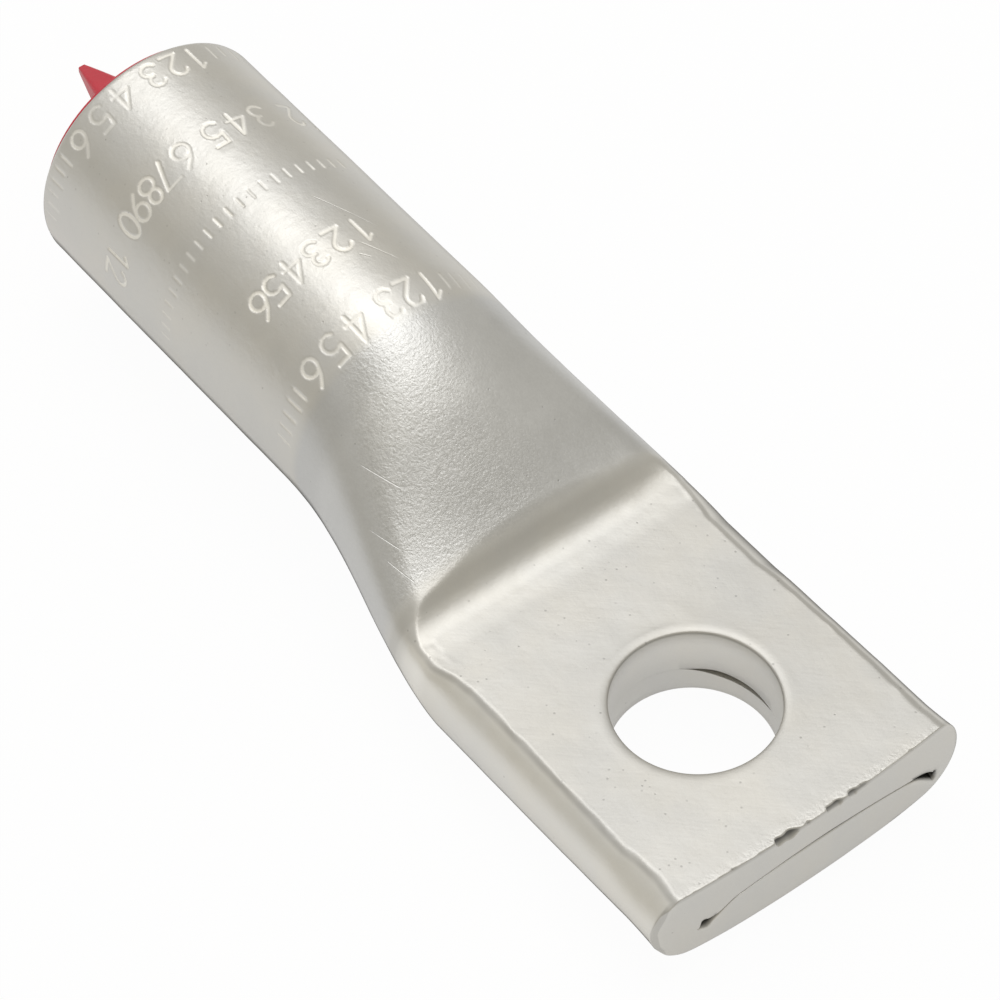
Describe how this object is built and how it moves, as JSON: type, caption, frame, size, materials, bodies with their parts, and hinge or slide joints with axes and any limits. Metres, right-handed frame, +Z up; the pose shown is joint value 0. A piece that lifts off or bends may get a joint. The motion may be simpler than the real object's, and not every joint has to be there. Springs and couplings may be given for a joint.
{
  "type": "cable lug",
  "caption": "One-hole compression cable lug pressed from a single tin-plated aluminium tube, flat tongue with stud hole, round barrel closed by a pull-out plastic plug.",
  "frame": {"origin": "centre of the stud hole on the pad's underside", "axes": "+X from the stud hole to the tongue's tip, with the barrel towards -X; +Z up, out of the pad; +Y across the tongue"},
  "size_m": [0.1036, 0.032, 0.0235],
  "materials": {
    "tinned_aluminium": "satin tin plate with fine pits and a short-streaked brushed look",
    "red_plastic": "smooth moulded polyethylene"
  },
  "bodies": {
    "lug": {"lug_body": "tinned_aluminium"},
    "plug": {"end_plug": "red_plastic"}
  },
  "joints": [
    {"name": "plug_pull", "type": "slide", "parent": "lug", "child": "plug", "axis": [-1, 0, 0], "range_m": [0, 0.03]}
  ]
}
